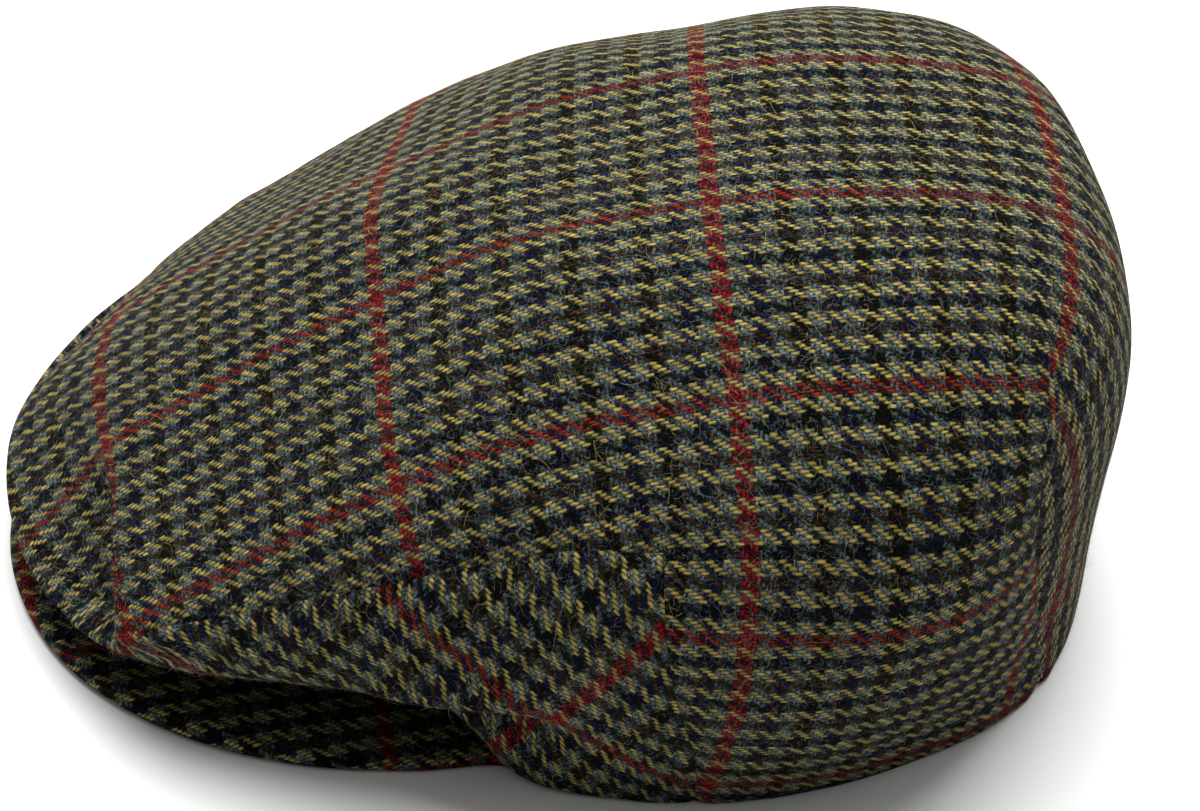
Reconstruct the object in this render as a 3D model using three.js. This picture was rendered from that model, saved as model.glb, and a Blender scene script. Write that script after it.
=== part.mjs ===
// A tweed flat cap: one big crown panel, a wedge-shaped panel on each side of the front, and a stiff peak.
// Millimetres, +Z up. The peak points to -Y and the wearer's left is +X. The cap rests on its rim at Z = 0.
import * as THREE from 'three';

// ---- Driving sizes ----
const CLOTH = 2.2; // wall of the crown: tweed, its backing and the turned-in seams
const PANEL_GAP = 0.3; // clear gap between pieces that meet
const APEX_HEIGHT = 104; // height that the sections rise to at the pole
const POLE_Y = 26.4; // where the crown's pole stands, behind the middle of the whole cap
const BEARING_STEP = 5; // degrees between the columns of facets
const TOP_RINGS = 16; // rings of facets from the pole to the seam line
const SKIRT_RINGS = 12; // rings from the seam line down to the rim
const SIDE_PANEL = { front: 25, back: 95 }; // bearings between which a side panel lies

// The crown, one row for each bearing round its pole, measured from the front:
// reach = how far out the crown bulges, level = the height of that bulge, rim = the rim's distance out,
// lift = the rim's height, crown and edge = how full the profile is near the pole and near the bulge.
const SECTION_COLUMNS = ['bearing', 'reach', 'level', 'rim', 'lift', 'crown', 'edge'];
const SECTIONS = [
  [0, 149.2, 17, 89, 6.5, 0.28, 0.07],
  [30, 136.5, 19, 87.5, 6, 0.28, 0.1],
  [60, 104.6, 43, 88.5, 4.4, 0.38, 0.32],
  [90, 99.8, 48, 92.5, 0, 0.43, 0.42],
  [120, 106.9, 54.5, 94, 0, 0.61, 0.59],
  [150, 99.9, 63, 98, 0, 0.82, 0.76],
  [180, 96.4, 61.5, 92, 0, 0.84, 0.75],
];

// How the cloth turns in below the bulge: tuck = how far out it stays on its way to the rim,
// drop = how steeply it leaves the bulge, rise = how steeply it meets the rim.
const UNDERSIDE = { tuck: 0.35, drop: 0.55, rise: 0.25 };
const RIM_FLAT = { from: 1.8, to: 2 }; // the stretch of the profile in which the rim's underside turns flat

// The crown's top, near the pole: its height there, how steeply it falls to the front, how sharply it bends
// along and across the cap (one over the radius), and the distances between which it runs into the sections.
const TOP = { height: 99.1, tilt: 0.198, alongBend: 0.0058, acrossBend: 0.0043, from: 8, to: 62 };

// The seam above a side panel: along = 0 at the pole, 1 at the bulge and 2 at the rim.
const SEAM_COLUMNS = ['bearing', 'along'];
const SEAM = [
  [0, 0.94],
  [25, 0.91],
  [34, 0.87],
  [46, 0.845],
  [58, 0.835],
  [70, 0.79],
  [82, 0.745],
  [95, 0.74],
  [130, 0.76],
  [180, 0.78],
];

// Soft creases in the crown, as valleys between two places seen from above:
// width = half the valley's width, depth = how deep it is where it is deepest, at its second end.
const CREASE_COLUMNS = ['fromX', 'fromY', 'toX', 'toY', 'width', 'depth'];
const CREASES = [
  [10, -84, 76, -97, 9, 6.5],
  [-20, -86, -76, -97, 9, 3],
];
const CREASE_RISE = 0.7; // share of a crease's length in which it reaches its full depth
const CREASE_END = { from: 0.72, to: 0.9 }; // where along the profile the creases fade out

// The peak: reach = how far its edge stands out from the pole, thick = its thickness.
const PEAK_COLUMNS = ['bearing', 'reach', 'thick'];
const PEAK = [
  [0, 149, 4.4],
  [12, 147.6, 4.4],
  [24, 141.3, 4.4],
  [36, 130.7, 4.2],
  [48, 116, 3.8],
  [60, 100.5, 3],
  [70, 91.5, 2.4],
];
const PEAK_TUCK = 6; // how far the peak runs in under the crown's rim
const PEAK_STEP = 5; // degrees between the peak's columns
const PEAK_RINGS = 5; // rings of facets across the peak

const TWEED = { color: 0x4c4a3c, roughness: 0.95, metalness: 0 };

// ---- Tables ----
function rowsOf(table, columns) {
  return table.map((row) => Object.fromEntries(columns.map((name, k) => [name, row[k]])));
}

// A smooth curve through a table's rows, even about bearings 0 and 180.
function tableCurve(table, columns) {
  const rows = rowsOf(table, columns);
  const last = rows.length - 1;
  const mirrored = (k) => {
    if (k < 0) return { ...rows[-k], bearing: -rows[-k].bearing };
    if (k > last) {
      const row = rows[2 * last - k];
      return { ...row, bearing: 2 * rows[last].bearing - row.bearing };
    }
    return rows[k];
  };
  return (bearing) => {
    const turn = Math.abs(((((bearing + 180) % 360) + 360) % 360) - 180);
    const at = Math.min(turn, rows[last].bearing);
    let k = 0;
    while (k < last - 1 && rows[k + 1].bearing <= at) k += 1;
    const [before, from, to, after] = [k - 1, k, k + 1, k + 2].map(mirrored);
    const span = to.bearing - from.bearing;
    const s = (at - from.bearing) / span;
    const blend = {};
    for (const name of columns.slice(1)) {
      const slopeFrom = ((to[name] - before[name]) / (to.bearing - before.bearing)) * span;
      const slopeTo = ((after[name] - from[name]) / (after.bearing - from.bearing)) * span;
      const value = from[name] * (2 * s ** 3 - 3 * s ** 2 + 1) + slopeFrom * (s ** 3 - 2 * s ** 2 + s)
        + to[name] * (3 * s ** 2 - 2 * s ** 3) + slopeTo * (s ** 3 - s ** 2);
      blend[name] = Math.max(0, value);
    }
    return blend;
  };
}

const sectionAt = tableCurve(SECTIONS, SECTION_COLUMNS);
const seamAt = tableCurve(SEAM, SEAM_COLUMNS);
const peakAt = tableCurve(PEAK, PEAK_COLUMNS);

// ---- The crown's surface ----
function bezier(values, s) {
  const q = 1 - s;
  return q ** 3 * values[0] + 3 * s * q ** 2 * values[1] + 3 * s ** 2 * q * values[2] + s ** 3 * values[3];
}

function profile({ reach, level, rim, lift, crown, edge }, along) {
  if (along <= 1) {
    const shoulder = level + edge * (APEX_HEIGHT - level);
    return {
      out: bezier([0, crown * reach, reach, reach], along),
      height: bezier([APEX_HEIGHT, APEX_HEIGHT, shoulder, level], along),
    };
  }
  const { tuck, drop, rise } = UNDERSIDE;
  const fall = level - lift;
  return {
    out: bezier([reach, reach, rim + tuck * (reach - rim), rim], along - 1),
    height: bezier([level, level - drop * fall, lift + rise * fall, lift], along - 1),
  };
}

function smoothCrown(bearing, along) {
  const { out, height } = profile(sectionAt(bearing), along);
  const turn = THREE.MathUtils.degToRad(bearing);
  const across = out * Math.sin(turn);
  const back = -out * Math.cos(turn);
  if (along > 1 || out > TOP.to) return new THREE.Vector3(across, POLE_Y + back, height);
  const bend = (TOP.alongBend * back ** 2 + TOP.acrossBend * across ** 2) / 2;
  const top = TOP.height + TOP.tilt * back - bend;
  const share = THREE.MathUtils.smoothstep(out, TOP.from, TOP.to);
  return new THREE.Vector3(across, POLE_Y + back, THREE.MathUtils.lerp(top, height, share));
}

function normalOf(surface, bearing, along) {
  if (along < 0.02) return new THREE.Vector3(0, 0, 1);
  const round = surface(bearing + 0.5, along).sub(surface(bearing - 0.5, along));
  const down = surface(bearing, Math.min(along + 0.01, 2)).sub(surface(bearing, along - 0.01));
  return down.cross(round).normalize();
}

// How deep the creases press in at a place: a bell across each, fading in along it and out at the bulge.
function creaseDepth(place, along) {
  let depth = 0;
  for (const crease of rowsOf(CREASES, CREASE_COLUMNS)) {
    const runX = crease.toX - crease.fromX;
    const runY = crease.toY - crease.fromY;
    const length = Math.hypot(runX, runY);
    const way = ((place.x - crease.fromX) * runX + (place.y - crease.fromY) * runY) / length;
    const off = ((place.y - crease.fromY) * runX - (place.x - crease.fromX) * runY) / length;
    const rise = THREE.MathUtils.smoothstep(way, 0, CREASE_RISE * length);
    depth += crease.depth * rise * Math.exp(-((off / crease.width) ** 2));
  }
  return depth * (1 - THREE.MathUtils.smoothstep(along, CREASE_END.from, CREASE_END.to));
}

function crownPoint(bearing, along) {
  const place = smoothCrown(bearing, along);
  const depth = creaseDepth(place, along);
  if (depth < 0.01) return place;
  return place.addScaledVector(normalOf(smoothCrown, bearing, along), -depth);
}

// The wall's inner face: straight in at the rim, so that the rim's underside is flat.
function crownInside(bearing, along) {
  const point = crownPoint(bearing, along);
  const inward = normalOf(crownPoint, bearing, along).negate();
  const level = new THREE.Vector3(inward.x, inward.y, 0).normalize();
  const share = THREE.MathUtils.smoothstep(along, RIM_FLAT.from, RIM_FLAT.to);
  return point.addScaledVector(inward.lerp(level, share), CLOTH);
}

// ---- Solids ----
function solid(name, positions, triangles) {
  const geometry = new THREE.BufferGeometry();
  geometry.setAttribute('position', new THREE.Float32BufferAttribute(positions.flatMap((p) => [p.x, p.y, p.z]), 3));
  geometry.setIndex(triangles.flat());
  geometry.computeVertexNormals();
  const mesh = new THREE.Mesh(geometry, new THREE.MeshStandardMaterial(TWEED));
  mesh.name = name;
  return mesh;
}

// A closed wall from grid cells: an outer and an inner face, joined along every free edge.
function wall(name, cells, key, outer, inner) {
  const index = new Map();
  const places = [];
  const vertex = (i, j) => {
    const id = key(i, j);
    if (!index.has(id)) {
      index.set(id, places.length);
      places.push([i, j]);
    }
    return index.get(id);
  };
  const faces = [];
  for (const [i, j] of cells) {
    const corners = [vertex(i, j), vertex(i, j + 1), vertex(i + 1, j + 1), vertex(i + 1, j)];
    if (corners[1] !== corners[2]) faces.push([corners[0], corners[1], corners[2]]);
    if (corners[0] !== corners[3]) faces.push([corners[0], corners[2], corners[3]]);
  }
  const count = places.length;
  const edges = new Set(faces.flatMap(([a, b, c]) => [`${a},${b}`, `${b},${c}`, `${c},${a}`]));
  const sides = [];
  for (const edge of edges) {
    const [a, b] = edge.split(',').map(Number);
    if (!edges.has(`${b},${a}`)) sides.push([b, a, a + count], [b, a + count, b + count]);
  }
  const backs = faces.map(([a, b, c]) => [c + count, b + count, a + count]);
  const positions = [...places.map(([i, j]) => outer(i, j)), ...places.map(([i, j]) => inner(i, j))];
  return solid(name, positions, [...faces, ...backs, ...sides]);
}

const COLUMNS = 360 / BEARING_STEP;
const RINGS = TOP_RINGS + SKIRT_RINGS;

// Where ring j lies at a bearing: evenly spaced down to the seam line, then down to the rim.
function ringAlong(bearing, j) {
  const seam = seamAt(bearing).along;
  if (j <= TOP_RINGS) return (seam * j) / TOP_RINGS;
  return seam + ((2 - seam) * (j - TOP_RINGS)) / SKIRT_RINGS;
}

function sideCell(i, j) {
  const middle = Math.abs(((i + 0.5) * BEARING_STEP + 180) % 360 - 180);
  return j >= TOP_RINGS && middle > SIDE_PANEL.front && middle < SIDE_PANEL.back;
}

function crownTop() {
  const cells = [];
  for (let i = 0; i < COLUMNS; i += 1) {
    for (let j = 0; j < RINGS; j += 1) {
      if (!sideCell(i, j)) cells.push([i, j]);
    }
  }
  const key = (i, j) => (j === 0 ? 'pole' : `${i % COLUMNS},${j}`);
  const at = (place) => (i, j) => place(i * BEARING_STEP, ringAlong(i * BEARING_STEP, j));
  return wall('crown_top', cells, key, at(crownPoint), at(crownInside));
}

// The step along the profile that opens the panel gap on both faces of the wall.
function gapAlong(bearing, along) {
  const step = 0.01;
  const speeds = [crownPoint, crownInside].map(
    (face) => face(bearing, along + step).distanceTo(face(bearing, along)) / step,
  );
  return PANEL_GAP / Math.min(...speeds);
}

// A side panel fills its place in the crown, with the gap all round its seam.
function sidePanel(name, side) {
  const { front, back } = SIDE_PANEL;
  const columns = (back - front) / BEARING_STEP;
  const cells = [];
  for (let i = 0; i < columns; i += 1) {
    for (let j = 0; j < SKIRT_RINGS; j += 1) cells.push([i, j]);
  }
  const spot = (i, j) => {
    const even = side > 0 ? front + i * BEARING_STEP : 360 - back + i * BEARING_STEP;
    const turn = THREE.MathUtils.radToDeg(PANEL_GAP / sectionAt(even).rim);
    const bearing = even + (i === 0 ? turn : 0) - (i === columns ? turn : 0);
    const top = ringAlong(bearing, TOP_RINGS);
    const along = Math.max(ringAlong(bearing, TOP_RINGS + j), top + gapAlong(bearing, top));
    return [bearing, along];
  };
  const key = (i, j) => `${i},${j}`;
  return wall(name, cells, key, (i, j) => crownPoint(...spot(i, j)), (i, j) => crownInside(...spot(i, j)));
}

// The peak: a bent plate that starts under the crown's rim and slopes down to its own edge on the floor.
function peakPoint(bearing, share, under) {
  const { reach, thick } = peakAt(bearing);
  const { rim, lift } = sectionAt(bearing);
  const out = THREE.MathUtils.lerp(rim - PEAK_TUCK, reach, share);
  const top = THREE.MathUtils.lerp(lift - PANEL_GAP, thick, Math.max(0, (out - rim) / (reach - rim)));
  const turn = THREE.MathUtils.degToRad(bearing);
  const height = under ? top - thick : top;
  return new THREE.Vector3(out * Math.sin(turn), POLE_Y - out * Math.cos(turn), height);
}

function peak() {
  const end = PEAK[PEAK.length - 1][0];
  const columns = (2 * end) / PEAK_STEP;
  const cells = [];
  for (let i = 0; i < columns; i += 1) {
    for (let j = 0; j < PEAK_RINGS; j += 1) cells.push([i, j]);
  }
  const face = (under) => (i, j) => peakPoint(i * PEAK_STEP - end, j / PEAK_RINGS, under);
  return wall('peak', cells, (i, j) => `${i},${j}`, face(false), face(true));
}

const cap = new THREE.Group();
cap.add(crownTop(), sidePanel('side_panel_left', 1), sidePanel('side_panel_right', -1), peak());

export default cap;
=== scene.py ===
"""A tweed flat cap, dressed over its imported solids. Sizes are in millimetres until a mesh is made."""
import math

import bpy
import numpy as np
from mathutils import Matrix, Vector


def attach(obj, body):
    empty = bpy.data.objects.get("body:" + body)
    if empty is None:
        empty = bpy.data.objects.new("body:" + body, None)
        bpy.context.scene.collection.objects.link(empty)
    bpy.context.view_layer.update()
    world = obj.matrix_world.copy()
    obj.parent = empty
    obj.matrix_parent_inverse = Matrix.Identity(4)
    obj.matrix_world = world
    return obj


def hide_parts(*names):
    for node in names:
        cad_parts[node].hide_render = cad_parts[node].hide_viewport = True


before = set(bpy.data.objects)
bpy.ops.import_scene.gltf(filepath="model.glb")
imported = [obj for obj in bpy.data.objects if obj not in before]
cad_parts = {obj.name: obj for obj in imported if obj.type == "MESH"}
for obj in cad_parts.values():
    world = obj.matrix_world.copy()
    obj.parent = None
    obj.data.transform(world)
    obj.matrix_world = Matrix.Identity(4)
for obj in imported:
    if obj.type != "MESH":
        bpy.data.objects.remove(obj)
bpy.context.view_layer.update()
MM = 0.001

# ---- The cap's shape: the same tables and formulas as the solids ----
CLOTH = 2.2
PANEL_GAP = 0.3
APEX_HEIGHT = 104
POLE_Y = 26.4
SIDE_FRONT, SIDE_BACK = 25, 95
# The seam at the back of a side panel leans forward: by how many degrees, how far round that carries, and where
# along its height the lean starts, is full and ends.
SIDE_LEAN, LEAN_SPREAD = 4.5, 22
LEAN_START, LEAN_FULL, LEAN_END = 0.45, 0.74, 1.7
# bearing, reach, level, rim, lift, crown, edge
SECTIONS = [
    (0, 149.2, 17, 89, 6.5, 0.28, 0.07),
    (30, 136.5, 19, 87.5, 6, 0.28, 0.1),
    (60, 104.6, 43, 88.5, 4.4, 0.38, 0.32),
    (90, 99.8, 48, 92.5, 0, 0.43, 0.42),
    (120, 106.9, 54.5, 94, 0, 0.61, 0.59),
    (150, 99.9, 63, 98, 0, 0.82, 0.76),
    (180, 96.4, 61.5, 92, 0, 0.84, 0.75),
]
TOP_HEIGHT, TOP_TILT, TOP_ALONG_BEND, TOP_ACROSS_BEND, TOP_FROM, TOP_TO = 99.1, 0.198, 0.0058, 0.0043, 8, 62
UNDERSIDE_TUCK, UNDERSIDE_DROP, UNDERSIDE_RISE = 0.35, 0.55, 0.25
# bearing, along
SEAM = [
    (0, 0.94), (25, 0.91), (34, 0.87), (46, 0.845), (58, 0.835),
    (70, 0.79), (82, 0.745), (95, 0.74), (130, 0.76), (180, 0.78),
]
# bearing, reach, thick
PEAK = [
    (0, 149, 4.4), (12, 148.3, 4.4), (24, 142, 4.4), (36, 130.2, 4.2),
    (48, 115.2, 3.8), (60, 100, 3), (70, 90.5, 2.4),
]
PEAK_TUCK = 6

# ---- What the cloth adds to the plain solids ----
# The dart at each side of the back, from its tip down to the rim: along, bearing
DARTS = [
    (0.6, 146), (0.67, 143), (0.74, 140), (0.82, 138), (0.92, 137), (1.02, 137),
    (1.22, 139), (1.49, 142), (1.76, 144), (2, 145),
]
DART_BEARING = 140
DART_TIP = 0.62
DART_BEND_START, DART_BEND_FULL = 0.2, 0.6  # along where the columns start to bend towards the dart, and follow it
DART_BEND_END = 178  # bearing behind the dart where they are straight again
DART_SEWN = 0.15  # how far below its tip the dart is sewn fully
DART_CLEAR = 20  # above its tip, what is added to the distance from it, so that nothing puckers there
DART_HOLLOW, DART_HOLLOW_WIDE, DART_HOLLOW_END = 1.2, 9, 1.5  # its hollow: depth, width, and along where it ends
# Creases in the crown, seen from above. depth = how deep the valley is, roll = how far the cloth behind it
# is pushed forward over the valley, tuck = how far the cloth before it is drawn in under the roll, rise = how
# high the roll stands.
# fromX, fromY, toX, toY, depth, roll, tuck, rise
CREASES = [
    (8, -94, 76, -75.5, 7, 9, 5, 2.6),
    (-4, -103, 34, -104.5, 1.4, 2.5, 1, 0.7),
]
CREASE_FACE = 5  # how wide the rolled edge is before it is folded
CREASE_SLOPE = 11  # how much wider it is at the ends, where it is only a slope
CREASE_BEHIND = 17  # how far behind the crease the cloth is drawn forward
CREASE_FRONT = 12  # how far in front of it the valley runs out
CREASE_BEFORE = 26  # how far in front of it the cloth is drawn in
# Shares of a crease's length: where it has begun, where its cloth is folded rather than a slope, and where it
# has run out.
CREASE_BEGIN, CREASE_FOLD_START, CREASE_FOLD_FULL, CREASE_OUT = -0.1, 0.25, 0.6, 1.3
CREASE_UNFOLD = (0.8, 0.9)  # along where a fold opens on its way down
CREASE_FADE = (0.86, 1.04)  # along where a crease runs out
# Where the soft cloth stands out from the even shape, or in (below 0).
# bearing, along, bearingSpread, alongSpread, push
SETTLE = [
    (163, 1.05, 17, 0.2, 1.6),
    (196, 0.76, 15, 0.15, -2.5),
    (229, 0.58, 14, 0.14, 1),
    (346, 0.94, 10, 0.14, -4.2),
    (136, 2, 18, 0.3, 2),
    (75, 2, 9, 0.4, 2.8),
    (60, 2, 6, 0.35, -5),
    (62, 1.32, 7, 0.09, 3.4),
    (70, 1.25, 7, 0.09, 3.4),
    (62, 1.52, 7, 0.11, -4.5),
    (70, 1.5, 8, 0.14, -6.5),
]
SEAM_ROLL = 3.6  # how far from a seam its edge starts to sink
SEAM_DEPTH = 0.8  # how deep it sinks
SEAM_GAP = 0.03  # what shows between two sewn edges
# Soft unevenness all over: how long the waves are and how high. The pucker is the same, close to a seam only.
WAVE_SEED = 11
LONG_WAVE, SHORT_WAVE, PUCKER = (62, 0.45), (24, 0.15), (9, 0.35)
PUCKER_REACH = 6
HEM_TURN = 1.8  # along from which the cloth's thickness turns level, for the rounded hem

# ---- Loose fibres: how many on each part of the crown and on each smaller piece, and their lowest height ----
CROWN_FIBRES, SMALL_FIBRES = 22000, 5500
CROWN_SEED, SIDE_SEED, PEAK_SEED = 21, 31, 41
FIBRE_FLOOR = 0.1
FIBRE_HALF_WIDTH = 0.015
STRAY = 0.04  # the share of stray fibres
FRONT_END, MIDDLE_END = -25, 60  # where the crown's front and middle parts end, front to back

# ---- Threads ----
GROUP = 4  # threads of one colour side by side
CROSS_REPEAT, LONG_REPEAT = 80, 64  # threads between two red lines, front to back and side to side
REPEAT_LENGTH, REPEAT_WIDTH = 70.64, 47.5  # the same in millimetres


def from_front(bearing):
    """Degrees from the front, the same on both sides: 0 at the front, 180 at the back."""
    return np.abs((bearing + 180) % 360 - 180)


def table_curve(table, bearing):
    """A smooth curve through a table's rows, even about bearings 0 and 180: one value for each column."""
    rows = np.asarray(table, float)
    x, y = rows[:, 0], rows[:, 1:]
    turn = np.minimum(from_front(np.asarray(bearing, float)), x[-1])
    xs = np.concatenate([[2 * x[0] - x[1]], x, [2 * x[-1] - x[-2]]])
    ys = np.vstack([y[1], y, y[-2]])
    k = np.clip(np.searchsorted(x, turn, side="right") - 1, 0, len(x) - 2)
    x0, x1, x2, x3 = (xs[k + n] for n in range(4))
    y0, y1, y2, y3 = (ys[k + n] for n in range(4))
    span = (x2 - x1)[..., None]
    s = (turn - x1)[..., None] / span
    slope1 = (y2 - y0) / (x2 - x0)[..., None] * span
    slope2 = (y3 - y1) / (x3 - x1)[..., None] * span
    value = y1 * (2 * s**3 - 3 * s**2 + 1) + slope1 * (s**3 - 2 * s**2 + s)
    value += y2 * (3 * s**2 - 2 * s**3) + slope2 * (s**3 - s**2)
    return np.moveaxis(np.maximum(0, value), -1, 0)


def bezier(values, s):
    q = 1 - s
    return q**3 * values[0] + 3 * s * q**2 * values[1] + 3 * s**2 * q * values[2] + s**3 * values[3]


def smoothstep(x, low, high):
    t = np.clip((x - low) / (high - low), 0, 1)
    return t * t * (3 - 2 * t)


def unit(v):
    return v / np.maximum(np.linalg.norm(v, axis=-1, keepdims=True), 1e-9)


def smooth_crown(bearing, along):
    bearing, along = np.broadcast_arrays(np.asarray(bearing, float), np.asarray(along, float))
    reach, level, rim, lift, crown, edge = table_curve(SECTIONS, bearing)
    upper, lower = np.minimum(along, 1), np.clip(along - 1, 0, 1)
    fall = level - lift
    out_up = bezier([0 * reach, crown * reach, reach, reach], upper)
    out_down = bezier([reach, reach, rim + UNDERSIDE_TUCK * (reach - rim), rim], lower)
    apex = APEX_HEIGHT + 0 * level
    high_up = bezier([apex, apex, level + edge * (APEX_HEIGHT - level), level], upper)
    high_down = bezier([level, level - UNDERSIDE_DROP * fall, lift + UNDERSIDE_RISE * fall, lift], lower)
    out = np.where(along <= 1, out_up, out_down)
    high = np.where(along <= 1, high_up, high_down)
    turn = np.radians(bearing)
    across, back = out * np.sin(turn), -out * np.cos(turn)
    dome = TOP_HEIGHT + TOP_TILT * back - (TOP_ALONG_BEND * back**2 + TOP_ACROSS_BEND * across**2) / 2
    share = smoothstep(out, TOP_FROM, TOP_TO)
    high = np.where(along <= 1, dome * (1 - share) + high * share, high)
    return np.stack([across, POLE_Y + back, high], -1)


def crown_normal(bearing, along):
    around = smooth_crown(bearing + 0.5, along) - smooth_crown(bearing - 0.5, along)
    down = smooth_crown(bearing, np.minimum(along + 0.01, 2)) - smooth_crown(bearing, np.maximum(along - 0.01, 0.001))
    normal = unit(np.cross(down, around))
    normal[along < 0.02] = (0, 0, 1)
    return normal


def creased_crown(bearing, along):
    """The crown with its creases: a valley, and behind it a roll of cloth pushed forward over the valley."""
    bearing, along = np.broadcast_arrays(np.asarray(bearing, float), np.asarray(along, float))
    place = smooth_crown(bearing, along)
    normal = crown_normal(bearing, along)
    fade = 1 - smoothstep(along, *CREASE_FADE)
    folded = 1 - smoothstep(along, *CREASE_UNFOLD)
    push = np.zeros_like(along)
    for at, low, wide, tall, out in SETTLE:
        turn = (bearing - at + 180) % 360 - 180
        push += out * np.exp(-((turn / wide) ** 2) - ((along - low) / tall) ** 2)
    moved = place + normal * push[..., None]
    for from_x, from_y, to_x, to_y, depth, roll, tuck, rise in CREASES:
        run_x, run_y = to_x - from_x, to_y - from_y
        length = math.hypot(run_x, run_y)
        way = ((place[..., 0] - from_x) * run_x + (place[..., 1] - from_y) * run_y) / length
        off = ((place[..., 1] - from_y) * run_x - (place[..., 0] - from_x) * run_y) / length
        share = smoothstep(way, CREASE_BEGIN * length, length) * (1 - smoothstep(way, length, CREASE_OUT * length))
        share = share * fade
        full = smoothstep(way, CREASE_FOLD_START * length, CREASE_FOLD_FULL * length) * folded
        width = CREASE_FACE + CREASE_SLOPE * (1 - full)
        behind = np.exp(-((np.maximum(off, 0) / CREASE_BEHIND) ** 1.3))
        face = smoothstep(off, -width, 0)
        before = np.maximum(-off - width, 0)
        forward = np.array([run_y, -run_x, 0.0]) / length
        tangent = unit(forward - (normal * forward).sum(-1, keepdims=True) * normal)
        drawn = (roll * behind * face - tuck * np.exp(-((before / CREASE_BEFORE) ** 2)) * (1 - face)) * share
        lift = (rise * behind * face - depth * np.exp(-((before / CREASE_FRONT) ** 2)) * (1 - face)) * share
        moved += tangent * drawn[..., None] + normal * lift[..., None]
    return moved


def waves(bearing, along, seed, size, height):
    """Soft unevenness of the cloth, as a few seeded waves over the cap."""
    rng = np.random.default_rng(seed)
    place = smooth_crown(bearing, along)
    total = np.zeros(place.shape[:-1])
    for _ in range(7):
        way = unit(rng.normal(size=3))
        length = size * rng.uniform(0.7, 1.6)
        total += np.sin(place @ way * (2 * math.pi / length) + rng.uniform(0, 2 * math.pi))
    return total * height / math.sqrt(7)


def roll_in(distance):
    """How deep an edge has sunk in at a distance from its seam."""
    return SEAM_DEPTH * (1 - np.clip(distance / SEAM_ROLL, 0, 1)) ** 2


# ---- Grids: columns by bearing, rows by share: 0 at the pole, 1 at the seam line, 2 at the rim ----
def along_of(bearing, share, end=2.0):
    seam = table_curve(SEAM, bearing)[0]
    return np.where(share <= 1, seam * share, seam + (end - seam) * (share - 1))


def dart_turn(column, share):
    """The bearing of a grid place: the columns near a dart bend to follow it."""
    along = along_of(column, share)
    side = from_front(column)
    sign = np.where((column % 360) > 180, -1, 1)
    rows = np.asarray(DARTS, float)
    bend = np.interp(along, rows[:, 0], rows[:, 1]) - DART_BEARING
    weight = smoothstep(side, SIDE_BACK + 8, DART_BEARING) * (1 - smoothstep(side, DART_BEARING, DART_BEND_END))
    return column + sign * bend * weight * smoothstep(along, DART_BEND_START, DART_BEND_FULL)


def seam_lean(turn, along):
    """How many degrees the seam at the back of a side panel leans forward at this height."""
    down = smoothstep(along, LEAN_START, LEAN_FULL) * (1 - smoothstep(along, LEAN_FULL, LEAN_END))
    return SIDE_LEAN * down * np.exp(-(((turn - SIDE_BACK) / LEAN_SPREAD) ** 2))


def crown_place(column, share):
    along = along_of(column, share)
    sign = np.where((column % 360) > 180, -1, 1)
    return dart_turn(column, share) - sign * seam_lean(from_front(column), along), along


def seam_speed(bearing):
    """Millimetres down the cloth for each unit of along, at the seam line."""
    seam = table_curve(SEAM, bearing)[0]
    step = smooth_crown(bearing, seam + 0.01) - smooth_crown(bearing, seam - 0.01)
    return np.linalg.norm(step, axis=-1) / 0.02


def hem_end(bearing):
    """Where along its profile the outer face stops, so that the rounded hem reaches down to the rim's height."""
    level, lift = table_curve(SECTIONS, bearing)[[1, 3]]
    return 2 - CLOTH / 2 / (3 * UNDERSIDE_RISE * (level - lift))


def cells_of(columns, rows, keep):
    """The kept cells of a grid as four corner numbers each: the corner (i, j) is i * len(rows) + j."""
    wrap = len(columns)
    i, j = np.meshgrid(np.arange(wrap), np.arange(len(rows) - 1), indexing="ij")
    i, j = i.ravel(), j.ravel()
    good = keep(i, j)
    i, j = i[good], j[good]
    n, following = len(rows), (i + 1) % wrap
    return np.stack([i * n + j, i * n + j + 1, following * n + j + 1, following * n + j], 1), i, j


# ---- Flat cutting coordinates: each panel unrolled with as little stretch as it allows ----
def triangles_of(quads):
    both = np.concatenate([quads[:, [0, 1, 2]], quads[:, [0, 2, 3]]])
    return both[(both[:, 0] != both[:, 1]) & (both[:, 1] != both[:, 2]) & (both[:, 0] != both[:, 2])]


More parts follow.
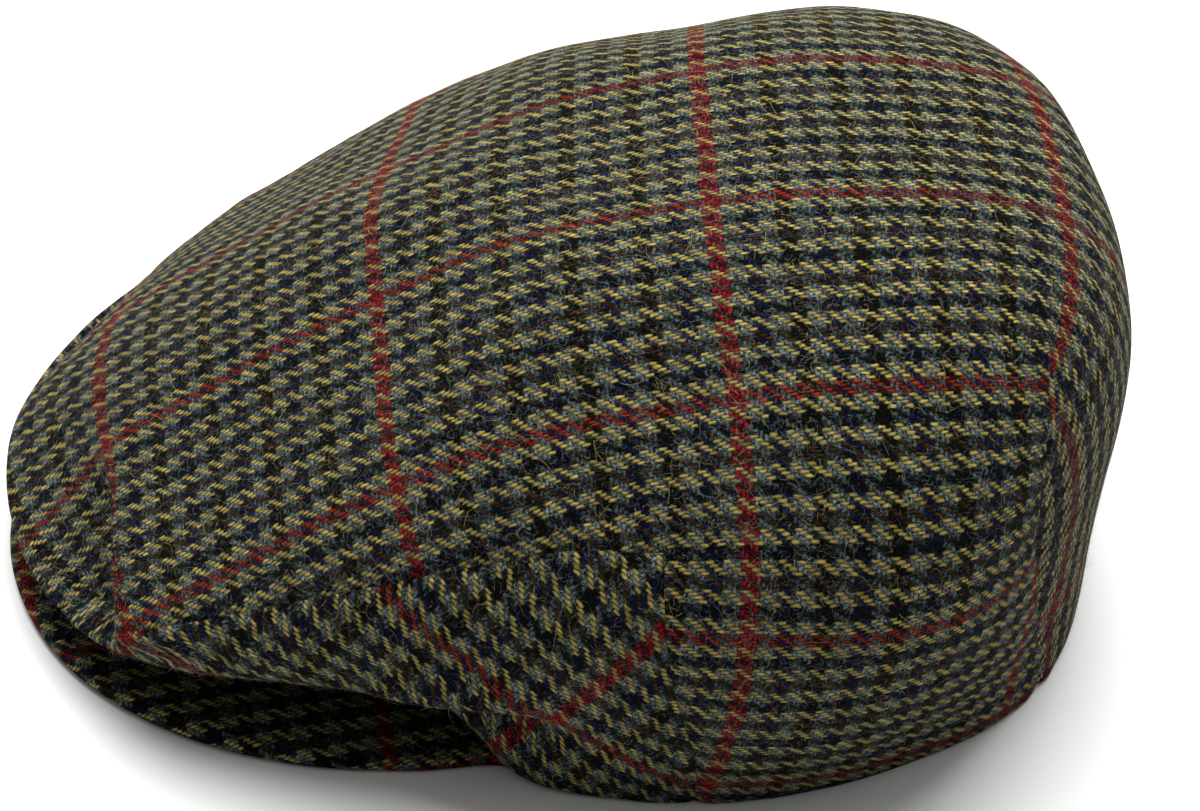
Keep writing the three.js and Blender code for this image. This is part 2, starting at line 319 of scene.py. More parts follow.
def flatten(points, quads, start, rounds, steps):
    """Local and global steps: every triangle turns as a rigid piece, and the places follow by least squares."""
    tri = triangles_of(quads)
    e1, e2 = points[tri[:, 1]] - points[tri[:, 0]], points[tri[:, 2]] - points[tri[:, 0]]
    length = np.linalg.norm(e1, axis=1)
    x_axis = e1 / length[:, None]
    normal = np.cross(e1, e2)
    double = np.maximum(np.linalg.norm(normal, axis=1), 1e-9)
    y_axis = np.cross(normal / double[:, None], x_axis)
    flat = np.stack([np.stack([length, 0 * length], 1), np.stack([(e2 * x_axis).sum(1), (e2 * y_axis).sum(1)], 1)], 1)
    inverse = np.linalg.inv(flat)
    g1, g2 = inverse[:, :, 0], inverse[:, :, 1]
    gradient = np.stack([-(g1 + g2), g1, g2], 1)
    area = double / 2
    count = len(points)
    row = np.repeat(tri, 3, axis=1).ravel()
    col = np.tile(tri, (1, 3)).ravel()
    weight = (area[:, None, None] * np.einsum("tkd,tld->tkl", gradient, gradient)).ravel()
    key, place = np.unique(row.astype(np.int64) * count + col, return_inverse=True)
    weight = np.bincount(place.ravel(), weight)
    row, col = key // count, key % count
    scale = np.bincount(row[row == col], weight[row == col], minlength=count)
    scale = np.where(scale > 0, scale, 1)

    def apply(x):
        return np.stack([np.bincount(row, weight * x[col, c], minlength=count) for c in (0, 1)], 1)

    uv = start.copy()
    for _ in range(rounds):
        jacobian = np.einsum("tkc,tkd->tcd", uv[tri], gradient)
        u, _, v = np.linalg.svd(jacobian)
        u[:, :, 1] *= np.where(np.linalg.det(u @ v) < 0, -1, 1)[:, None]
        pull = area[:, None, None] * np.einsum("tcd,tkd->tkc", u @ v, gradient)
        want = np.stack([np.bincount(tri.ravel(), pull[:, :, c].ravel(), minlength=count) for c in (0, 1)], 1)
        rest = want - apply(uv)
        eased = rest / scale[:, None]
        step = eased.copy()
        size = (rest * eased).sum(0)
        for _ in range(steps):
            moved = apply(step)
            stride = size / np.maximum((step * moved).sum(0), 1e-12)
            uv += stride * step
            rest -= stride * moved
            eased = rest / scale[:, None]
            new = (rest * eased).sum(0)
            step = eased + new / np.maximum(size, 1e-12) * step
            size = new
    return uv


class Grid:
    """A panel's grid: places, kept cells and a slit along each dart, and a way to carry values from a coarser grid.
    """

    def __init__(self, columns, rows, place, keep, closed, slits=(), slit_row=0):
        self.columns, self.rows = np.asarray(columns, float), np.asarray(rows, float)
        n = len(self.rows)
        self.quads, self.i, self.j = cells_of(self.columns, self.rows, keep)
        if closed:
            self.quads = np.where(self.quads % n == 0, 0, self.quads)
        column, share = np.meshgrid(self.columns, self.rows, indexing="ij")
        self.column, self.share = column.ravel(), share.ravel()
        # A second copy of each corner on a slit, for the cells that start there.
        extra = []
        for slit in slits:
            k = int(np.argmin(np.abs(self.columns - slit)))
            for corner in range(2):
                inside = (self.i == k) & (self.rows[self.j + corner] > self.rows[slit_row] + 1e-6)
                self.quads[inside, corner] = len(self.column) + len(extra) * n + self.j[inside] + corner
            extra.append(k)
        for k in extra:
            self.column = np.append(self.column, np.full(n, self.columns[k]))
            self.share = np.append(self.share, self.rows)
        used, self.quads = np.unique(self.quads, return_inverse=True)
        self.quads = self.quads.reshape(-1, 4)
        self.column, self.share = self.column[used], self.share[used]
        self.bearing, self.along = place(self.column, self.share)

    def carry(self, coarse, values):
        """Values on a coarser grid, carried to this grid's corners cell by cell."""
        width = 360 if coarse.columns[-1] - coarse.columns[0] > 300 else 0
        edges = np.append(coarse.columns, coarse.columns[0] + 360) if width else coarse.columns
        after = self.columns[(self.i + 1) % len(self.columns)]
        after = np.where(after < self.columns[self.i] - 1, after + 360, after)
        mid_column = (self.columns[self.i] + after) / 2
        mid_row = (self.rows[self.j] + self.rows[self.j + 1]) / 2
        ci = np.clip(np.searchsorted(edges, mid_column, side="right") - 1, 0, len(edges) - 2)
        cj = np.clip(np.searchsorted(coarse.rows, mid_row, side="right") - 1, 0, len(coarse.rows) - 2)
        lookup = -np.ones((len(coarse.columns), len(coarse.rows)), int)
        lookup[coarse.i, coarse.j] = np.arange(len(coarse.i))
        cell = lookup[ci, cj]
        result = np.zeros((len(self.column), values.shape[1]))
        for corner, (column, row) in enumerate(
            ((self.columns[self.i], self.j), (self.columns[self.i], self.j + 1), (after, self.j + 1), (after, self.j))
        ):
            s = (column - edges[ci]) / (edges[ci + 1] - edges[ci])
            t = (self.rows[row] - coarse.rows[cj]) / (coarse.rows[cj + 1] - coarse.rows[cj])
            near = values[coarse.quads[cell]]
            s, t = s[:, None], t[:, None]
            blend = (1 - s) * ((1 - t) * near[:, 0] + t * near[:, 1]) + s * ((1 - t) * near[:, 3] + t * near[:, 2])
            result[self.quads[:, corner]] = blend
        return result


def refined(base, marks, near):
    """A sorted list of stations: the base ones, with closer ones on both sides of each mark."""
    extra = [mark + side * step for mark in marks for step in near for side in (-1, 1)]
    every = sorted(set(np.round([*base, *marks, *extra], 4)))
    return np.array(every)


def in_side(column):
    turn = from_front(column)
    return (turn > SIDE_FRONT) & (turn < SIDE_BACK)


def crown_grid(columns, rows):
    columns, rows = np.asarray(columns, float), np.asarray(rows, float)

    def keep(i, j):
        after = columns[(i + 1) % len(columns)]
        middle = (columns[i] + np.where(after < columns[i] - 1, after + 360, after)) / 2
        return ~(in_side(middle) & (rows[j] > 1 - 1e-6))

    tip = float(DART_TIP / table_curve(SEAM, float(DART_BEARING))[0])
    slit_row = int(np.argmin(np.abs(rows - tip)))
    return Grid(columns, rows, crown_place, keep, True, (DART_BEARING, 360 - DART_BEARING), slit_row)


def side_grid(columns, rows, side):
    columns = np.asarray(columns, float)

    def keep(i, j):
        return i < len(columns) - 1

    def place(column, share):
        turn = from_front(column)
        gap = np.degrees(SEAM_GAP / table_curve(SECTIONS, column)[2])
        inside = np.clip(turn, SIDE_FRONT + gap, SIDE_BACK - gap) * side % 360
        seam = table_curve(SEAM, inside)[0] + SEAM_GAP / seam_speed(inside)
        along = seam + (hem_end(inside) - seam) * (share - 1)
        return (inside - side * seam_lean(from_front(inside), along)) % 360, along

    return Grid(columns, rows, place, keep, False)


def turned(uv, degrees):
    c, s = math.cos(math.radians(degrees)), math.sin(math.radians(degrees))
    return np.stack([c * uv[:, 0] - s * uv[:, 1], s * uv[:, 0] + c * uv[:, 1]], 1)


def flat_crown(fine):
    tip = float(DART_TIP / table_curve(SEAM, float(DART_BEARING))[0])
    coarse = crown_grid(np.arange(0, 360, 5), np.unique(np.append(np.linspace(0, 1, 17), np.linspace(1, 2, 13))))
    points = creased_crown(coarse.bearing, coarse.along)
    radius = 120 * coarse.along
    start = np.stack([-radius * np.cos(np.radians(coarse.bearing)), -radius * np.sin(np.radians(coarse.bearing))], 1)
    uv = flatten(points, coarse.quads, start, 70, 40)
    middle = crown_grid(np.arange(0, 360, 2.5), np.unique(np.append(np.linspace(0, 1, 33), np.linspace(1, 2, 25))))
    uv = flatten(creased_crown(middle.bearing, middle.along), middle.quads, middle.carry(coarse, uv), 12, 40)
    uv = flatten(creased_crown(fine.bearing, fine.along), fine.quads, fine.carry(middle, uv), 5, 40)
    pole = uv[np.argmin(fine.along)]
    uv = (uv - pole) * (1, -1)
    return uv


def flat_side(grid, side):
    """The side panel's flat coordinates, with the ends of its top seam level and the origin at the front one."""
    columns, share = grid.column, grid.share
    away = (columns - SIDE_FRONT) if side > 0 else (360 - SIDE_FRONT - columns)
    start = np.stack([away * 1.6, -side * (share - 1) * 70], 1)
    points = smooth_crown(grid.bearing, grid.along)
    uv = flatten(points, grid.quads, start, 60, 60) * (1, -1)
    top = np.where(share < 1 + 1e-6, away, np.nan)
    front, back = uv[np.nanargmin(top)], uv[np.nanargmax(top)]
    level = math.degrees(math.atan2(back[1] - front[1], back[0] - front[0]))
    return turned(uv - front, -level)


def threads(uv, turn, line_u, line_v):
    """Thread numbers from flat coordinates: the red lines lie at line_u and line_v once the grain is turned."""
    uv = turned(uv, turn)
    across = (uv[:, 0] - line_u) / REPEAT_LENGTH * CROSS_REPEAT + 2
    down = (uv[:, 1] - line_v) / REPEAT_WIDTH * LONG_REPEAT + 2
    return np.stack([across, down], 1)


# ---- Meshes ----
def edges_of(quads):
    """The free edges of a sheet, each as its two corners in the cell's own order, and its cell."""
    start, end = quads.ravel(), np.roll(quads, -1, axis=1).ravel()
    cell = np.repeat(np.arange(len(quads)), 4)
    good = start != end
    start, end, cell = start[good], end[good], cell[good]
    size = int(quads.max()) + 1
    free = ~np.isin(start.astype(np.int64) * size + end, end.astype(np.int64) * size + start)
    return start[free], end[free], cell[free]


def vertex_normals(points, quads):
    tri = triangles_of(quads)
    face = np.cross(points[tri[:, 1]] - points[tri[:, 0]], points[tri[:, 2]] - points[tri[:, 0]])
    total = np.zeros_like(points)
    for c in range(3):
        np.add.at(total, tri[:, c], face)
    return unit(total)


def make_object(name, points, faces, layers, material):
    mesh = bpy.data.meshes.new(name)
    mesh.from_pydata((points * MM).tolist(), [], [list(dict.fromkeys(f)) for f in faces.tolist()])
    corners = np.zeros(len(mesh.loops), dtype=np.int32)
    mesh.loops.foreach_get("vertex_index", corners)
    for layer, uv in layers.items():
        made = mesh.uv_layers.new(name=layer)
        made.data.foreach_set("uv", uv[corners].astype(np.float32).ravel())
    mesh.polygons.foreach_set("use_smooth", np.ones(len(mesh.polygons), dtype=bool))
    mesh.materials.append(material)
    mesh.update()
    made = bpy.data.objects.new(name, mesh)
    bpy.context.scene.collection.objects.link(made)
    return made


def shell(name, outer, inner, quads, uv, roundness, steps=5):
    """A closed wall of cloth. roundness = 1 where its edge bulges out as a fold, 0 where it is cut straight."""
    start, end, cell = edges_of(quads)
    normal = vertex_normals(outer, quads)
    side = unit(np.cross(outer[end] - outer[start], normal[start] + normal[end]))
    out = np.zeros_like(outer)
    np.add.at(out, start, side)
    np.add.at(out, end, side)
    out = unit(out)
    # How the thread numbers go on past the edge, from the cell's own slope.
    across = np.zeros((len(outer), 2))
    far = np.array([[q for q in quads[c] if q not in (a, b)][0] for a, b, c in zip(start, end, cell)])
    e1, e2 = outer[end] - outer[start], outer[far] - outer[start]
    d1, d2 = uv[end] - uv[start], uv[far] - uv[start]
    a11, a12, a22 = (e1 * e1).sum(1), (e1 * e2).sum(1), (e2 * e2).sum(1)
    b1, b2 = (e1 * side).sum(1), (e2 * side).sum(1)
    det = np.maximum(a11 * a22 - a12 * a12, 1e-9)
    k1, k2 = (b1 * a22 - b2 * a12) / det, (a11 * b2 - a12 * b1) / det
    slope = k1[:, None] * d1 + k2[:, None] * d2
    np.add.at(across, start, slope)
    np.add.at(across, end, slope)
    across /= 2
    ring = np.unique(start)
    number = np.zeros(len(outer), int)
    number[ring] = np.arange(len(ring))
    middle, half = (outer[ring] + inner[ring]) / 2, (outer[ring] - inner[ring]) / 2
    size = np.linalg.norm(half, axis=1, keepdims=True)
    points, maps = [outer, inner], [uv, uv]
    count = len(outer)
    for k in range(1, steps):
        angle = math.pi * k / steps
        bulge = out[ring] * size * math.sin(angle) * roundness[ring][:, None]
        points.append(middle + half * math.cos(angle) + bulge)
        maps.append(uv[ring] + across[ring] * size * angle * roundness[ring][:, None])
    faces = [quads, quads[:, ::-1] + count]
    rims = [2 * count + k * len(ring) for k in range(steps - 1)]
    one, two = ([corner, *(rim + number[corner] for rim in rims), corner + count] for corner in (start, end))
    for k in range(steps):
        faces.append(np.stack([two[k], one[k], one[k + 1], two[k + 1]], 1))
    every = np.vstack(points)
    every[:, 2] = np.maximum(every[:, 2], 0)
    return make_object(name, every, np.vstack(faces), {"Cloth": np.vstack(maps)}, cloth_look)


def inner_face(points, normal, along):
    """The cloth's other face: a thickness further in, and level with the outer one at the hem."""
    level = unit(normal * (1, 1, 0))
    share = smoothstep(along, HEM_TURN, 2)[:, None]
    return points - unit(normal * (1 - share) + level * share) * CLOTH


# ---- Materials ----
def linear(red, green, blue):
    def one(c):
        c /= 255
        return c / 12.92 if c <= 0.04045 else ((c + 0.055) / 1.055) ** 2.4

    return (one(red), one(green), one(blue), 1.0)


class Graph:
    """Short ways to add the nodes of a material."""

    def __init__(self, name):
        self.material = bpy.data.materials.new(name)
        self.material.use_nodes = True
        self.tree = self.material.node_tree
        self.shader = next(n for n in self.tree.nodes if n.type == "BSDF_PRINCIPLED")

    def put(self, socket, value):
        if isinstance(value, bpy.types.NodeSocket):
            self.tree.links.new(value, socket)
        else:
            socket.default_value = value

    def math(self, operation, *values):
        node = self.tree.nodes.new("ShaderNodeMath")
        node.operation = operation
        for socket, value in zip(node.inputs, values):
            self.put(socket, value)
        return node.outputs[0]

    def mix(self, share, first, second, kind="RGBA", blend="MIX"):
        node = self.tree.nodes.new("ShaderNodeMix")
        node.data_type = kind
        if kind == "RGBA":
            node.blend_type = blend
        place = 6 if kind == "RGBA" else 2
        self.put(node.inputs[0], share)
        self.put(node.inputs[place], first)
        self.put(node.inputs[place + 1], second)
        return node.outputs[2 if kind == "RGBA" else 0]

    def join(self, x, y, z=0.0):
        node = self.tree.nodes.new("ShaderNodeCombineXYZ")
        for socket, value in zip(node.inputs, (x, y, z)):
            self.put(socket, value)
        return node.outputs[0]

    def noise(self, place, scale, detail, rough):
        node = self.tree.nodes.new("ShaderNodeTexNoise")
        self.put(node.inputs["Vector"], place)
        self.put(node.inputs["Scale"], scale)
        self.put(node.inputs["Detail"], detail)
        self.put(node.inputs["Roughness"], rough)
        return node.outputs["Fac"]

    def chance(self, x, y):
        """A number from 0 to 1 that differs from thread to thread."""
        node = self.tree.nodes.new("ShaderNodeTexWhiteNoise")
        node.noise_dimensions = "2D"
        self.put(node.inputs["Vector"], self.join(x, y))
        return node.outputs["Value"]

    def spread(self, value, low, high):
        """value from 0 to 1, spread from low to high."""
        return self.math("MULTIPLY_ADD", value, high - low, low)


CLOTH_TONE = 0.72  # how much of a thread's own colour the whole cloth gives back
YELLOW = linear(205, 185, 99)
PALE = linear(191, 212, 207)
PALE_SHADE = linear(32, 46, 46)
NAVY = linear(20, 27, 63)
BLACK_OLIVE = linear(15, 15, 8)
BLACK_GREEN = linear(8, 15, 14)
BROWN = linear(59, 46, 26)
CRIMSON = linear(158, 24, 42)
ORANGE_RED = linear(156, 46, 32)
CRIMSON_SPREAD, ORANGE_SPREAD = 0.22, 0.1  # how much the red fibres tint their neighbours
HAZE = (0.04, 0.16)  # how much pale fibres cover the cloth, between the pale groups and on them
HAZE_COLOUR = tuple(0.6 * c for c in PALE[:3]) + (1.0,)
TWILL = 4.0  # threads after which the twill's step repeats
THREAD_RELIEF = 0.35  # height of a thread in the bump


def tweed():
    """2/2 twill in groups of four threads, with a red overcheck, read from the thread numbers in the map."""
    g = Graph("tweed")
    cloth = g.tree.nodes.new("ShaderNodeUVMap")
    cloth.uv_map = "Cloth"
    split = g.tree.nodes.new("ShaderNodeSeparateXYZ")
    g.put(split.inputs[0], cloth.outputs[0])
    across, down = split.outputs[0], split.outputs[1]

    def field(layer, scale, detail=2.0, rough=0.6):
        """A noise over the cloth, with a layer number of its own so that no two are alike."""
        return g.noise(g.join(across, down, layer), scale, detail, rough)

    # The threads wander a little, and their edges are fuzzy.
    wander_u, wander_v = field(3.7, 0.11, 1.0, 0.5), field(9.2, 0.11, 1.0, 0.5)
    fuzz_u, fuzz_v = field(21.0, 1.1, 2.0, 0.7), field(33.0, 1.1, 2.0, 0.7)
    u = g.math("ADD", across, g.math("ADD", g.spread(wander_u, -0.9, 0.9), g.spread(fuzz_u, -0.8, 0.8)))
    v = g.math("ADD", down, g.math("ADD", g.spread(wander_v, -0.8, 0.8), g.spread(fuzz_v, -0.45, 0.45)))
    i, j = g.math("FLOOR", u), g.math("FLOOR", v)
    # Which thread is on top, and where the place lies on its float: 0 to 1 along it and across it.
    order = g.math("FLOORED_MODULO", g.math("SUBTRACT", i, j), TWILL)
    long_top = g.math("LESS_THAN", order, 1.5)
    long_way = g.math("MULTIPLY", g.math("FLOORED_MODULO", g.math("SUBTRACT", u, j), TWILL), 0.5)
    cross_way = g.math("SUBTRACT", g.math("FLOORED_MODULO", g.math("SUBTRACT", v, i), TWILL), 1.0)
    cross_way = g.math("MULTIPLY", cross_way, 0.5)
    way = g.mix(long_top, cross_way, long_way, "FLOAT")
    off = g.mix(long_top, g.math("SUBTRACT", u, i), g.math("SUBTRACT", v, j), "FLOAT")
    # Each float is an arch along its length and round across it.
    arch = g.math("SUBTRACT", 1.0, g.math("POWER", g.math("ABSOLUTE", g.spread(way, -1.0, 1.0)), 2.4))
    bow = g.math("SUBTRACT", 1.0, g.math("POWER", g.math("ABSOLUTE", g.spread(off, -1.0, 1.0)), 2.0))
    height = g.math("SQRT", g.math("MAXIMUM", g.math("MULTIPLY", arch, bow), 0.0))
    # Strands: streaks along the thread on top.
    strands = g.mix(
        long_top,
        g.noise(g.join(g.math("MULTIPLY", u, 3.6), g.math("MULTIPLY", v, 1.2), 5.0), 1.0, 3.0, 0.7),
        g.noise(g.join(g.math("MULTIPLY", u, 1.2), g.math("MULTIPLY", v, 3.6), 15.0), 1.0, 3.0, 0.7),
        "FLOAT",
    )

    def tangle(scale, layer, thin):
        """Fine loose fibres that wander over the cloth: thin lines where a noise is level."""
        away = g.math("ABSOLUTE", g.spread(field(layer, scale), -1.0, 1.0))
        return g.math("SUBTRACT", 1.0, g.math("MULTIPLY", away, thin))

    loose = g.math("MAXIMUM", tangle(0.6, 61.0, 16.0), tangle(0.9, 72.0, 11.0))
    loose = g.math("MAXIMUM", g.math("MAXIMUM", loose, tangle(0.45, 83.0, 22.0)), 0.0)
    # Colours go by groups of four threads. The pale threads are loose, so dark shows between their fibres.
    group_u = g.math("FLOOR", g.math("MULTIPLY", g.math("FLOORED_MODULO", i, float(CROSS_REPEAT)), 1 / GROUP))
    group_v = g.math("FLOOR", g.math("MULTIPLY", g.math("FLOORED_MODULO", j, float(LONG_REPEAT)), 1 / GROUP))
    band_middle, band_turn = 1.5 * GROUP, math.pi / GROUP
    cross_band = g.math("COSINE", g.math("MULTIPLY", g.math("SUBTRACT", across, band_middle), band_turn))
    long_band = g.math("COSINE", g.math("MULTIPLY", g.math("SUBTRACT", down, band_middle), band_turn))
    pale = g.mix(g.math("MULTIPLY", loose, g.spread(long_band, 0.62, 0.9)), PALE_SHADE, PALE)

    def by_group(group, odd, two, four, first):
        is_odd = g.math("MODULO", group, 2.0)
        is_two = g.math("COMPARE", g.math("MODULO", group, 4.0), 2.0, 0.5)
        is_first = g.math("LESS_THAN", group, 0.5)
        return g.mix(is_first, g.mix(is_odd, g.mix(is_two, four, two), odd), first)

    cross = by_group(group_u, pale, NAVY, BLACK_OLIVE, CRIMSON)
    long = by_group(group_v, YELLOW, BLACK_GREEN, BROWN, ORANGE_RED)
    colour = g.mix(long_top, cross, long)
    # Fibres of the red threads spread over their neighbours.
    colour = g.mix(g.math("MULTIPLY", g.math("LESS_THAN", group_u, 0.5), CRIMSON_SPREAD), colour, CRIMSON)
    colour = g.mix(g.math("MULTIPLY", g.math("LESS_THAN", group_v, 0.5), ORANGE_SPREAD), colour, ORANGE_RED)
    # A shade of its own for each float, and heather over many.
    own = g.chance(g.math("SUBTRACT", i, g.math("MULTIPLY", order, long_top)), g.math("ADD", j, long_top))
    heather = field(50.0, 0.3, 3.0)
    shade = g.math("MULTIPLY", g.math("MAXIMUM", g.spread(strands, -0.5, 2.4), 0.1), g.spread(own, 0.65, 1.3))
    shade = g.math("MULTIPLY", shade, g.spread(heather, 0.5, 1.5))
    # Painted shade: each float's colour is darkened towards its ends and edges, where it dips between its neighbours,
    # as if shadowed there.
    depth = g.math("MULTIPLY_ADD", g.math("POWER", height, 2.2), 0.9, 0.1)
    tone = g.math("MULTIPLY", g.math("MULTIPLY", shade, depth), CLOTH_TONE)
    colour = g.mix(1.0, colour, g.join(tone, tone, tone), blend="MULTIPLY")
    # Fibres of the pale groups lie over their neighbours too.
    band = g.math("ADD", cross_band, long_band)
    patch = field(90.0, 0.2)
    haze = g.math("MULTIPLY", g.math("MULTIPLY", loose, g.spread(band, *HAZE)), g.spread(patch, 0.2, 1.5))
    colour = g.mix(g.math("MINIMUM", haze, 1.0), colour, HAZE_COLOUR)
    g.put(g.shader.inputs["Base Color"], colour)
    g.put(g.shader.inputs["Roughness"], 0.95)
    g.put(g.shader.inputs["Specular IOR Level"], 0.05)
    g.put(g.shader.inputs["Sheen Weight"], 0.02)
    g.put(g.shader.inputs["Sheen Roughness"], 0.35)
    g.put(g.shader.inputs["Sheen Tint"], linear(200, 210, 205))
    bump = g.tree.nodes.new("ShaderNodeBump")
    g.put(bump.inputs["Strength"], 1.0)
    g.put(bump.inputs["Distance"], THREAD_RELIEF * MM)
    fine = g.math("ADD", g.math("MULTIPLY", strands, 0.5), g.math("MULTIPLY", loose, 0.35))
    g.put(bump.inputs["Height"], g.math("ADD", height, fine))
    g.put(g.shader.inputs["Normal"], bump.outputs[0])
    return g.material


def fuzz_material():
    """Loose wool fibres: mostly pale, some in the colours of the threads."""
    g = Graph("fuzz")
    cloth = g.tree.nodes.new("ShaderNodeUVMap")
    cloth.uv_map = "Fibre"
    split = g.tree.nodes.new("ShaderNodeSeparateXYZ")
    g.put(split.inputs[0], cloth.outputs[0])
    ramp = g.tree.nodes.new("ShaderNodeValToRGB")
    g.put(ramp.inputs[0], split.outputs[0])
    stops = [
        (0.0, linear(140, 150, 144)), (0.4, linear(84, 96, 96)), (0.62, YELLOW),
        (0.74, BROWN), (0.82, NAVY), (0.97, CRIMSON),
    ]
    ramp.color_ramp.interpolation = "CONSTANT"
    for k, (at, colour) in enumerate(stops):
        element = ramp.color_ramp.elements[k] if k < 2 else ramp.color_ramp.elements.new(at)
        element.position, element.color = at, colour
    g.put(g.shader.inputs["Base Color"], ramp.outputs[0])
    g.put(g.shader.inputs["Roughness"], 0.7)
    g.put(g.shader.inputs["Sheen Weight"], 0.2)
    return g.material


# ---- Loose fibres ----
def add_fuzz(name, points, quads, count, seed):
    """Curly fibres that lie on the cloth and stand a little off it, as thin ribbons."""
    rng = np.random.default_rng(seed)
    tri = triangles_of(quads)
    cross = np.cross(points[tri[:, 1]] - points[tri[:, 0]], points[tri[:, 2]] - points[tri[:, 0]])
    area = np.linalg.norm(cross, axis=1)
    chosen = tri[np.searchsorted(np.cumsum(area) / area.sum(), rng.random(count))]
    a, b = rng.random(count), rng.random(count)
    over = a + b > 1
    a, b = np.where(over, 1 - a, a)[:, None], np.where(over, 1 - b, b)[:, None]
    normals = vertex_normals(points, quads)
    root = points[chosen[:, 0]] * (1 - a - b) + points[chosen[:, 1]] * a + points[chosen[:, 2]] * b
    normal = unit(normals[chosen].mean(1))
    first = unit(np.cross(normal, unit(rng.normal(size=(count, 3)))))
    second = np.cross(normal, first)
    # A few stray fibres are long and stand off. The rest are short and lie close.
    stray = rng.random(count) < STRAY
    length = np.where(stray, rng.uniform(4, 9, count), rng.lognormal(0.65, 0.4, count))
    lift = np.where(stray, rng.uniform(0.5, 1.6, count), rng.uniform(0.15, 0.6, count))
    curl = rng.normal(0, 1.2, count)
    wiggle, phase = rng.normal(0, 1.1, count), rng.uniform(0, 6.28, count)
    steps = 4
    place = np.zeros((count, 2))
    rows = []
    for k in range(steps + 1):
        t = k / steps
        heading = curl * t * 2 + wiggle * np.sin(phase + 5 * t)
        way = np.stack([np.cos(heading), np.sin(heading)], 1)
        height = lift * math.sin(math.pi * min(1, 0.15 + 0.8 * t)) - 0.05
        centre = root + first * place[:, :1] + second * place[:, 1:] + normal * height[:, None]
        side = first * -way[:, 1:] + second * way[:, :1]
        thick = FIBRE_HALF_WIDTH * (1 - 0.6 * t) * np.where(stray, 1.4, 1)
        rows.append((centre - side * thick[:, None], centre + side * thick[:, None]))
        place = place + way * (length / steps)[:, None]
    vertices = np.stack([p for pair in rows for p in pair], 1)
    vertices[..., 2] = np.maximum(vertices[..., 2], FIBRE_FLOOR)
    base = np.arange(count)[:, None] * 2 * (steps + 1)
    faces = np.concatenate([base + np.array([2 * k, 2 * k + 1, 2 * k + 3, 2 * k + 2]) for k in range(steps)])
    tone = np.repeat(np.stack([rng.random(count), rng.random(count)], 1), 2 * (steps + 1), axis=0)
    made = make_object(name, vertices.reshape(-1, 3), faces, {"Fibre": tone}, fuzz_look)
    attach(made, "root")
    return made


# ---- The pieces ----
CROWN_GRAIN = 4.46  # degrees that the crown's threads are turned from front to back
CROWN_LINE_U, CROWN_LINE_V = -135.1, -25.7
SIDE_GRAIN, SIDE_LINE_U, SIDE_LINE_V = -58.8, 84.9, -76.7
PEAK_GRAIN, PEAK_LINE_U, PEAK_LINE_V = 14.4, -145.0, 26.5

NEAR_SEAM = (0.003, 0.008, 0.016)  # shares at which extra rows lie beside a seam

cloth_look = tweed()
fuzz_look = fuzz_material()


def arc(degrees, points):
    """Millimetres round the pole for an angle at these places."""
    return np.radians(degrees) * np.hypot(points[:, 0], points[:, 1] - POLE_Y)


def seam_distances(bearing, along, points):
    """How far a place is above the side panel's seam and past its two ends, negative inside the panel."""
    turn = from_front(bearing)
    turn = turn + seam_lean(turn + seam_lean(turn, along), along)
    held = np.clip(turn, SIDE_FRONT, SIDE_BACK)
    above = (table_curve(SEAM, held)[0] - along) * seam_speed(held)
    past = np.maximum(arc(turn - SIDE_BACK, points), arc(SIDE_FRONT - turn, points))
    return above, past


def cloth_waves(bearing, along, distance):
    soft = waves(bearing, along, WAVE_SEED, *LONG_WAVE) + waves(bearing, along, WAVE_SEED + 1, *SHORT_WAVE)
    return soft + waves(bearing, along, WAVE_SEED + 2, *PUCKER) * np.exp(-distance / PUCKER_REACH)


def dress_crown():
    marks = (SIDE_FRONT, SIDE_BACK, DART_BEARING, 360 - SIDE_FRONT, 360 - SIDE_BACK, 360 - DART_BEARING)
    even = [np.arange(0, 45, 0.42), np.arange(45, 180, 1), np.arange(180, 315, 1.5), np.arange(315, 360, 0.9)]
    columns = refined(np.concatenate(even), marks, (0.12, 0.4, 0.8, 1.3))
    even = [np.linspace(0, 0.55, 30), np.linspace(0.56, 1, 44), np.linspace(1, 2, 40)]
    rows = refined(np.concatenate(even), (1,), NEAR_SEAM)
    grid = crown_grid(columns, rows)
    uv = threads(flat_crown(grid), CROWN_GRAIN, CROWN_LINE_U, CROWN_LINE_V)
    grid.along = np.where(grid.share > 1, along_of(grid.bearing, grid.share, hem_end(grid.bearing)), grid.along)
    base = creased_crown(grid.bearing, grid.along)
    normal = vertex_normals(base, grid.quads)
    above, past = seam_distances(grid.bearing, grid.along, base)
    distance = np.hypot(np.maximum(above, 0), np.maximum(past, 0))
    from_dart = np.abs(arc(from_front(grid.column) - DART_BEARING, base))
    sewn = smoothstep(grid.along, DART_TIP, DART_TIP + DART_SEWN)
    lump = cloth_waves(grid.bearing, grid.along, np.minimum(distance, from_dart + DART_CLEAR * (1 - sewn)))
    pressed = np.maximum(roll_in(distance), roll_in(from_dart) * sewn)
    hollow = smoothstep(grid.along, DART_TIP, 1) * (1 - smoothstep(grid.along, DART_HOLLOW_END, 2))
    lump -= DART_HOLLOW * np.exp(-((from_dart / DART_HOLLOW_WIDE) ** 2)) * hollow
    outer = base + normal * (lump - pressed)[:, None]
    inner = inner_face(base + normal * lump[:, None], normal, grid.along)
    piece = shell("crown_cloth", outer, inner, grid.quads, uv, (grid.share > 2 - 1e-6) * 1.0)
    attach(piece, "root")
    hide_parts("crown_top")
    back = outer[grid.quads].mean(1)[:, 1]
    parts = {
        "front": back < FRONT_END,
        "middle": (back >= FRONT_END) & (back < MIDDLE_END),
        "back": back >= MIDDLE_END,
    }
    for seed, (name, part) in enumerate(parts.items(), CROWN_SEED):
        hairs = add_fuzz(f"crown_fuzz_{name}", outer, grid.quads[part], CROWN_FIBRES, seed)


